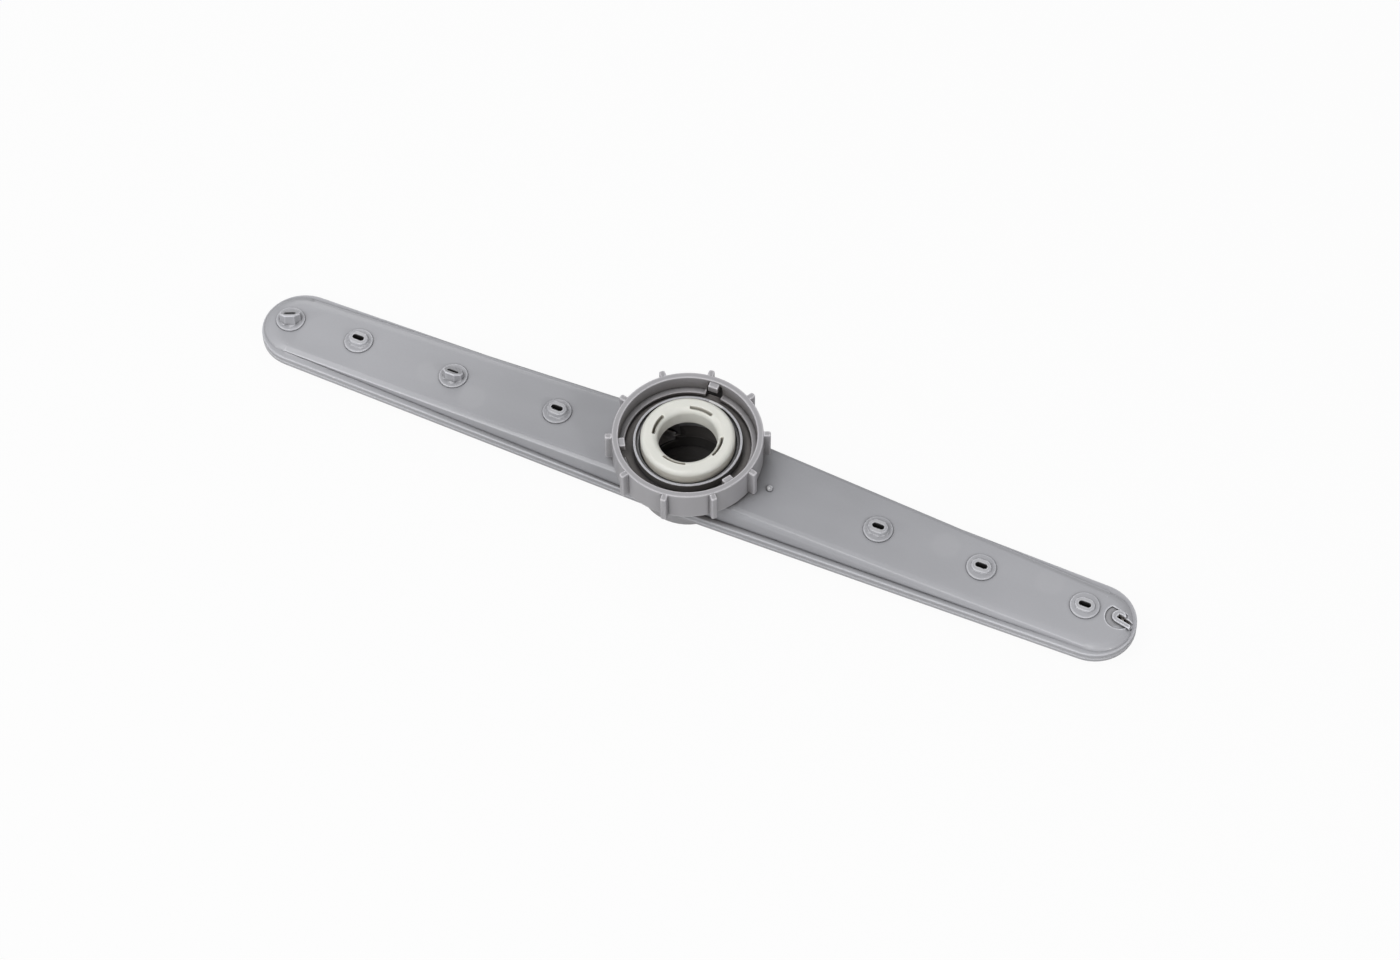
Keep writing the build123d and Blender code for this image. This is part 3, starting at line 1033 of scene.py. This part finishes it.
@dataclass
class Shells:
    """The arm's two welded shells; sizes in millimetres, places along and across the arm.

    An edge gets the round of the form that it is on: a pad's rim, a slot, the shoulder or a plain edge.
    None is made where the crisp side, the lead, runs into the round end, or at the sprue mark.

    Attributes:
        flat_jets, drive_jets: Place and rise of each jet.
        pad_radius, pad_rim: Radius of a jet's pad, and width of the rim inside it.
        lead_gap, lead_reach, deck_room: Where the lead ends: how near the round end's start, from which
            distance off the middle and from which level.
        end_room: Length before the round end in which the shoulder's edges stay as cut.
        slack: How far an edge may lie outside its form.
        upright, lengthwise: Least share of height or length in the direction of such an edge.
    """

    finish: MouldedPlastic
    under_finish: MouldedPlastic
    roll: Roll = Roll()
    edge_round: float = 0.26
    widest_round: float = 1.2
    rim_round: float = 0.5
    slot_round: float = 0.16
    round_steps: int = 2
    least_turn: float = 28.0
    lead_gap: float = 1.0
    lead_reach: float = 11.5
    deck_room: float = 14.2
    end_room: float = 10.0
    flat_jets: tuple[Triple, ...] = (
        (-179.1, 1.4, 3.3), (-69.6, -0.4, 3.4), (99.0, 0.5, 3.1), (151.4, 2.0, 1.9), (203.5, 3.4, 1.6))
    drive_jets: tuple[Triple, ...] = ((-216.6, 0.5, 5.4), (-126.1, -0.2, 4.4))
    pad_radius: float = 7.2
    pad_rim: float = 0.4
    slot_length: float = 5.6
    slot_width: float = 2.2
    slack: float = 0.1
    sprue: Pair = (43.1, -0.7)
    sprue_reach: float = 2.2
    end_reach: float = 6.5
    upright: float = 0.8
    lengthwise: float = 0.9

    def _jet_round(self, x: float, y: float, run: Vector) -> float | None:
        """Width of the round on an edge of a jet or its pad.

        Args:
            x: Place of the edge's middle along the arm.
            y: Its place across the arm.
            run: The edge's direction.

        Returns:
            The width, or None where there is no jet.
        """
        for flat, jets in ((True, self.flat_jets), (False, self.drive_jets)):
            for jet_x, jet_y, _ in jets:
                along, across = abs(x - jet_x), abs(y - jet_y)
                away = math.hypot(along, across) - self.pad_radius
                if away >= self.slack:
                    continue
                if away > -self.pad_rim:
                    return self.rim_round
                in_slot = (along < self.slot_length / 2 + self.slack
                           and across < self.slot_width / 2 + self.slack)
                if in_slot or not flat:
                    return self.slot_round
                return self.widest_round if abs(run.z) > self.upright else self.rim_round
        return None

    def round_at(self, middle: Vector, run: Vector) -> float | None:
        """Width of the round on an edge.

        Args:
            middle: The edge's middle, in metres.
            run: Its direction.

        Returns:
            The width in millimetres, or None where the crisp side runs into the round end.
        """
        x, y, z = (part / MM for part in middle)
        at_end = abs(abs(x) - self.roll.end) < self.lead_gap
        if at_end and y * math.copysign(1.0, x) > self.lead_reach and z > self.deck_room:
            return None
        on_jet = self._jet_round(x, y, run)
        if on_jet is not None:
            return on_jet
        if math.dist((x, y), self.sprue) < self.sprue_reach:
            return 0.0
        if math.dist((x, y), self.roll.calm) < self.end_reach:
            return self.slot_round
        if self.roll.holds(middle):
            before_end = abs(x) < self.roll.end - self.end_room
            return self.widest_round if before_end and abs(run.x) > self.lengthwise else 0.0
        return self.edge_round

    def build(self) -> list[bpy.types.Object]:
        """Build both shells and dress them.

        Returns:
            The cover and the tray.
        """
        cover = merged_copy("upper_shell", "arm_cover")
        for corner in cover.data.vertices:
            corner.co = self.roll.squared(corner.co)
        tray = merged_copy("lower_shell", "arm_tray")
        finishes = (self.finish, self.under_finish)
        for piece, node, finish in zip((cover, tray), ("upper_shell", "lower_shell"), finishes):
            piece.data.materials.append(finish.make())
            soften(piece, self.widest_round, self.round_steps, self.least_turn, self.round_at)
            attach(piece, Body.ARM.value)
            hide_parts(node)
        return [cover, tray]


@dataclass
class RingNut:
    """Ring nut with grip ribs, bayonet tabs and core-outs. Sizes in millimetres, angles in degrees.

    A drop and a tab's height go down from the wall's top, and a reach goes out of the wall. The core-outs, or
    pockets, are cut from outside the neck into the wall; the overcut keeps them off the neck and takes them
    past the foot.
    """

    finish: MouldedPlastic
    inner: float = 33.3
    outer: float = 36.3
    foot: float = 26.35
    top: float = 43.15
    ledge_radius: float = 30.5
    ledge_foot: float = 32.75
    ledge_top: float = 34.95
    bead_radius: float = 32.15
    bead_top: float = 29.65
    bead_height: float = 1.2
    rib_count: int = 10
    rib_start: float = 25.0
    rib_reach: float = 3.4
    rib_width: float = 2.9
    rib_round: float = 0.9
    rib_foot: float = 26.65
    rib_top: float = 42.75
    tab_count: int = 3
    tab_start: float = 91.0
    tab_width: float = 5.0
    tab_reach: float = 3.1
    tab_round: float = 0.5
    tab_height: float = 4.6
    tab_drop: float = 0.7
    pocket_width: float = 7.6
    pocket_depth: float = 1.5
    pocket_round: float = 0.4
    pocket_drop: float = 2.8
    neck: float = 26.3
    overcut: float = 1.0
    segments: int = 144
    merge_gap: float = 0.01
    edge_round: float = 0.42
    round_steps: int = 3
    least_turn: float = 32.0

    def profile(self) -> list[Pair]:
        """Outline of the turned body.

        Returns:
            Its (radius, height) points.
        """
        bead_foot = self.bead_top - self.bead_height
        return [
            (self.outer, self.foot),
            (self.outer, self.top),
            (self.inner, self.top),
            (self.inner, self.ledge_top),
            (self.ledge_radius, self.ledge_top),
            (self.ledge_radius, self.ledge_foot),
            (self.inner, self.ledge_foot),
            (self.inner, self.bead_top),
            (self.bead_radius, self.bead_top),
            (self.bead_radius, bead_foot),
            (self.inner, bead_foot - (self.inner - self.bead_radius)),
            (self.inner, self.foot),
        ]

    def build(self) -> list[bpy.types.Object]:
        """Build the nut and dress it.

        Returns:
            The nut.
        """
        piece = lathe_points(self.profile(), "grip_nut")
        forge = Forge("grip_nut_shape")
        root = (self.outer - self.inner) / 2
        body = forge.lathe(forge.outline(), forge.size("Segments", self.segments))
        tabs = forge.size("Tab Count", self.tab_count)
        tab_start = forge.turn("Tab Start", self.tab_start)
        pocket_end = self.inner + self.pocket_depth
        length = pocket_end - self.neck - self.overcut
        pocket = forge.bar("Pocket", length, self.pocket_width, self.pocket_round,
                           self.foot - self.overcut, self.top - self.pocket_drop, pocket_end - length / 2)
        body = forge.cut(body, [forge.ring(pocket, tabs, tab_start)])
        length = self.tab_reach + root
        tab = forge.bar("Tab", length, self.tab_width, self.tab_round, self.top - self.tab_height,
                        self.top - self.tab_drop, self.inner - self.tab_reach + length / 2)
        length = self.rib_reach + root
        rib = forge.bar("Rib", length, self.rib_width, self.rib_round, self.rib_foot, self.rib_top,
                        self.outer + self.rib_reach - length / 2)
        rib_count = forge.size("Rib Count", self.rib_count)
        ribs = forge.ring(rib, rib_count, forge.turn("Rib Start", self.rib_start))
        nut = forge.weld([body, forge.ring(tab, tabs, tab_start), ribs])
        forge.finish(piece, nut, self.finish.make())
        close_and_turn_out(piece.data, self.merge_gap * MM)
        soften(piece, self.edge_round, self.round_steps, self.least_turn)
        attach(piece, Body.NUT.value)
        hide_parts("ring_nut")
        return [piece]


@dataclass
class Bush:
    """Bearing bush with a domed head, windows and snap hooks. Sizes in millimetres, angles in degrees.

    The crown is the round of the head's top, towards the bore and outwards. The core is the hollow ring
    under the head. The windows' cut starts a dip under the seat and is higher than the head by its room.
    """

    finish: MouldedPlastic
    bore: float = 14.3
    sleeve: float = 15.9
    head: float = 22.75
    seat: float = 35.0
    top: float = 42.5
    crown_inner: float = 3.3
    crown_outer: float = 2.6
    crown_steps: int = 8
    hook_foot: float = 32.5
    hook_height: float = 1.1
    hook_reach: float = 1.9
    hook_root: float = 0.8
    hook_spread: float = 37.0
    window_width: float = 1.3
    window_spread: float = 41.0
    window_start: float = 0.0
    window_dip: float = 0.1
    window_room: float = 2.0
    core_outer: float = 20.45
    core_width: float = 2.2
    core_depth: float = 4.6
    count: int = 4
    segments: int = 128
    merge_gap: float = 0.005
    edge_round: float = 0.22
    round_steps: int = 2
    least_turn: float = 34.0

    def profile(self) -> list[Pair]:
        """Outline of the turned body, with the core-out under its head.

        Returns:
            Its (radius, height) points.
        """
        inner = arc((self.bore + self.crown_inner, self.top - self.crown_inner),
                    self.crown_inner, 180.0, -90.0, self.crown_steps)
        outer = arc((self.head - self.crown_outer, self.top - self.crown_outer),
                    self.crown_outer, 90.0, -90.0, self.crown_steps)
        core_inner = self.core_outer - self.core_width
        core_top = self.seat + self.core_depth
        return [
            (self.bore, self.hook_foot),
            *inner,
            *outer,
            (self.head, self.seat),
            (self.core_outer, self.seat),
            (self.core_outer, core_top),
            (core_inner, core_top),
            (core_inner, self.seat),
            (self.sleeve, self.seat),
            (self.sleeve, self.hook_foot),
        ]

    def build(self) -> list[bpy.types.Object]:
        """Build the bush and dress it.

        Returns:
            The bush.
        """
        piece = lathe_points(self.profile(), "cream_bush")
        forge = Forge("cream_bush_shape")
        body = forge.lathe(forge.outline(), forge.size("Segments", self.segments))
        count = forge.size("Count", self.count)
        start = forge.turn("Window Start", self.window_start)
        height = self.top - self.seat + self.window_room
        window = forge.sector("Window", self.sleeve + self.window_width / 2, self.window_width, height,
                              self.seat - self.window_dip + height / 2, self.window_spread)
        width = self.hook_reach + self.hook_root
        hook = forge.sector("Hook", self.sleeve + self.hook_reach - width / 2, width, self.hook_height,
                            self.hook_foot + self.hook_height / 2, self.hook_spread)
        bush = forge.cut(body, [forge.ring(window, count, start)])
        bush = forge.weld([bush, forge.ring(hook, count, start)])
        forge.finish(piece, bush, self.finish.make())
        close_and_turn_out(piece.data, self.merge_gap * MM)
        soften(piece, self.edge_round, self.round_steps, self.least_turn)
        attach(piece, Body.BUSH.value)
        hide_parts("bearing_bush")
        return [piece]


@dataclass(frozen=True)
class Lamp:
    """A square lamp that points at the arm, with its place and side in metres and its power in watts."""

    name: str
    place: Triple
    size: float
    power: float

    def build(self) -> None:
        """Hang the lamp."""
        data = bpy.data.lights.new(self.name, "AREA")
        data.shape = "SQUARE"
        data.size = self.size
        data.energy = self.power
        lamp = bpy.data.objects.new(self.name, data)
        aim = Vector(self.place).to_track_quat("Z", "Y").to_matrix().to_4x4()
        lamp.matrix_world = Matrix.Translation(self.place) @ aim
        link(lamp)


@dataclass
class Studio:
    """White room with soft light, and the camera.

    Attributes:
        azimuth, elevation, roll: The camera's turn from the front, height angle and roll, in degrees.
        distance, target: Camera to its target, and the target on the hub axis, in millimetres.
        focal, centre_x, centre_y: Focal length and the target's place in the photograph, in pixels.
        width, height: Size of the photograph, in pixels.
        sensor: Width of the camera's sensor, in millimetres.
        clip: Nearest and farthest distance that the camera sees, in metres.
        ambient: Strength of the room's light.
        paint, glow: Grey of the floor, and how far it glows white to the camera.
        floor_half: Half the floor's side, in metres.
    """

    azimuth: float = 25.204
    elevation: float = 55.414
    roll: float = -0.987
    distance: float = 1922.296
    target: Triple = (0.0, 0.0, 20.0)
    focal: float = 3989.454
    centre_x: float = 688.168
    centre_y: float = 461.685
    width: int = 1400
    height: int = 960
    sensor: float = 36.0
    clip: Pair = (0.05, 50.0)
    ambient: float = 0.33
    paint: float = 0.6
    glow: float = 0.95
    floor_half: float = 4.0
    lamps: tuple[Lamp, ...] = (
        Lamp("key", (-0.45, -1.05, 1.9), 1.6, 30.0),
        Lamp("low", (-1.35, -1.3, 0.85), 0.3, 4.0),
        Lamp("right", (1.5, -0.9, 1.1), 0.3, 7.5),
        Lamp("back", (-0.8, 1.5, 1.2), 0.8, 5.0),
    )

    def make_camera(self) -> None:
        """Place the camera so that the target falls where the photograph has it."""
        azimuth = math.radians(self.azimuth)
        elevation = math.radians(self.elevation)
        roll = math.radians(self.roll)
        back = Vector((math.sin(azimuth) * math.cos(elevation),
                       -math.cos(azimuth) * math.cos(elevation), math.sin(elevation)))
        level = Vector((math.cos(azimuth), math.sin(azimuth), 0.0))
        upright = back.cross(level)
        right = math.cos(roll) * level + math.sin(roll) * upright
        up = math.cos(roll) * upright - math.sin(roll) * level
        place = (Vector(self.target) + back * self.distance) * MM
        aside = (self.width / 2 - self.centre_x) / self.focal
        below = (self.height / 2 - self.centre_y) / self.focal
        back = (back - right * aside + up * below).normalized()
        right = (right - back * right.dot(back)).normalized()
        up = back.cross(right)
        data = bpy.data.cameras.new("camera")
        data.sensor_fit = "HORIZONTAL"
        data.sensor_width = self.sensor
        data.lens = self.focal * self.sensor / self.width
        data.clip_start, data.clip_end = self.clip
        camera = bpy.data.objects.new("camera", data)
        turned = Matrix((right, up, back)).transposed().to_4x4()
        camera.matrix_world = Matrix.Translation(place) @ turned
        bpy.context.scene.camera = link(camera)

    def make_world(self) -> None:
        """Room that is white to the camera and through clear things, and softer as a light."""
        world = bpy.data.worlds.new("room")
        world.use_nodes = True
        graph = Graph(world.node_tree)
        path = graph.node("ShaderNodeLightPath")
        seen = graph.out(path, "Is Camera Ray") + graph.out(path, "Is Transmission Ray")
        dome, bright = (graph.wire("ShaderNodeBackground", {}, {"Color": (*WHITE, 1.0), "Strength": strength})
                        for strength in (self.ambient, 1.0))
        graph.mixed_surface("ShaderNodeOutputWorld", seen, dome, bright)
        bpy.context.scene.world = world

    def make_floor(self) -> None:
        """Plain pale floor that keeps a faint shadow."""
        material = bpy.data.materials.new("pale_floor")
        material.use_nodes = True
        graph = Graph(material.node_tree)
        share = graph.wire("ShaderNodeLightPath", key="Is Camera Ray") * self.glow
        paint = graph.wire("ShaderNodeBsdfDiffuse", {}, {"Color": (self.paint, self.paint, self.paint, 1.0)})
        bright = graph.wire("ShaderNodeEmission", {}, {"Color": (*WHITE, 1.0), "Strength": 1.0})
        graph.mixed_surface("ShaderNodeOutputMaterial", share, paint, bright)
        half = self.floor_half
        mesh = bpy.data.meshes.new("floor")
        corners = [(x, y, 0.0) for x, y in ((-half, -half), (half, -half), (half, half), (-half, half))]
        mesh.from_pydata(corners, [], [(0, 1, 2, 3)])
        mesh.materials.append(material)
        floor = link(bpy.data.objects.new("floor", mesh))

    def build(self) -> None:
        """Build the room, its lamps and the camera."""
        self.make_camera()
        self.make_world()
        self.make_floor()
        for lamp in self.lamps:
            lamp.build()
        bpy.context.scene.view_settings.view_transform = "Standard"


def cover_finish() -> MouldedPlastic:
    """Finish of the cover, with pale marks and painted highlights, painted shade in its slots and in rings.

    Returns:
        The finish.
    """
    deck_at = Roll().deck_at
    # Pale stress whitening at the sprue, placed to stand in for its glint too: partly a painted highlight.
    sprue = Speck(42.8, -0.9, 24.4, radius=1.0, strength=0.9)
    nick = Speck(-182.0, -21.0, 12.9, radius=0.6, strength=0.6)
    # Painted highlight on the collar's rim behind a core-out of the nut.
    rim_highlight = [Speck(*on_ring(25.7, turn), 37.7, radius=1.3, strength=1.5) for turn in range(76, 89, 3)]
    flow_marks = [Speck(x, y, deck_at(x), radius=8.5, strength=0.045)
                  for x, y in ((-137.9, -2.2), (-112.0, -8.1), (131.5, 6.5), (183.8, 8.6))]
    # Painted highlight on the tops of the flat jets' collars.
    pad_top_highlights = [Speck(x, y, deck_at(x) + rise, radius=4.4, strength=0.22) for x, y, rise in Shells.flat_jets]
    # Painted shade that makes the jets' slots black.
    flat_slots = [SlotShade(x, y, length=6.15, width=3.0) for x, y, _ in Shells.flat_jets]
    drive_slots = [SlotShade(x, y, length=6.0, width=2.3, turn=turn)
                   for (x, y, _), turn in zip(Shells.drive_jets, (25.0, 0.0))]
    # Painted shade under the nut's ledge, in the hub's chamber and in the end jet's recess.
    under_nut = ShadeRing(inner=26.6, outer=33.2, foot=25.0, top=33.0, left=0.75)
    chamber = ShadeRing(inner=0.0, outer=23.2, foot=10.0, top=33.6, left=0.35)
    end_recess = ShadeRing(inner=0.0, outer=6.0, foot=14.2, top=15.3, left=0.84, x=217.4, y=4.5, tint=0.2)
    return MouldedPlastic(
        "arm_grey_moulded", (0.366, 0.368, 0.389), mottle=0.075, roughness=0.38, gloss=0.4, crease=1.0,
        painted_tip_light=0.20, coat=0.3, hollow=0.75, specks=(sprue, nick, *rim_highlight, *flow_marks, *pad_top_highlights),
        slot_shade=(*flat_slots, *drive_slots), shade_rings=(under_nut, chamber, end_recess))


def tray_finish() -> MouldedPlastic:
    """Finish of the tray, with turned rings on the boss foot and painted shade in the hub."""
    return MouldedPlastic(
        "arm_grey_tray", (0.360, 0.362, 0.382), turning=0.05, hollow=0.0, painted_tip_light=0.20, coat=0.3,
        shade_rings=(ShadeRing(inner=0.0, outer=23.0, foot=1.5, top=40.0, left=0.16),))


def nut_finish() -> MouldedPlastic:
    """Finish of the nut, with painted shade in the core-outs behind its tabs.

    Returns:
        The finish.
    """
    turns = [RingNut.tab_start + 360.0 * k / RingNut.tab_count for k in range(RingNut.tab_count)]
    pockets = tuple(SlotShade(*on_ring(32.6, turn), length=8.4, width=5.0, turn=turn + 90.0, top=37.6, left=0.25)
                    for turn in turns)
    return MouldedPlastic("nut_grey_moulded", (0.362, 0.355, 0.370), roughness=0.38, gloss=0.4,
                          coat=0.3, flow=1.0, hollow=0.8, slot_shade=pockets)


def bush_finish() -> MouldedPlastic:
    """Finish of the bush, in which some light scatters."""
    # Faint painted shade in its creases and hollows, and a faint painted highlight on its edges.
    return MouldedPlastic(
        "bush_cream_moulded", (0.725, 0.724, 0.675), mottle=0.04, roughness=0.36, grain=0.005, flow=1.0,
        scatter=0.2, crease=0.2, hollow=0.15, shade_tint=0.1, painted_edge_light=0.1)


def main() -> None:
    """Build the pieces in order and report each."""
    logging.basicConfig(level=logging.INFO, format="%(message)s")
    shells = Shells(finish=cover_finish(), under_finish=tray_finish())
    for part in (shells, RingNut(finish=nut_finish()), Bush(finish=bush_finish())):
        for piece in part.build():
            log.info("%s has %d faces", piece.name, len(piece.data.polygons))
    Studio().build()


if __name__ == "__main__":
    main()
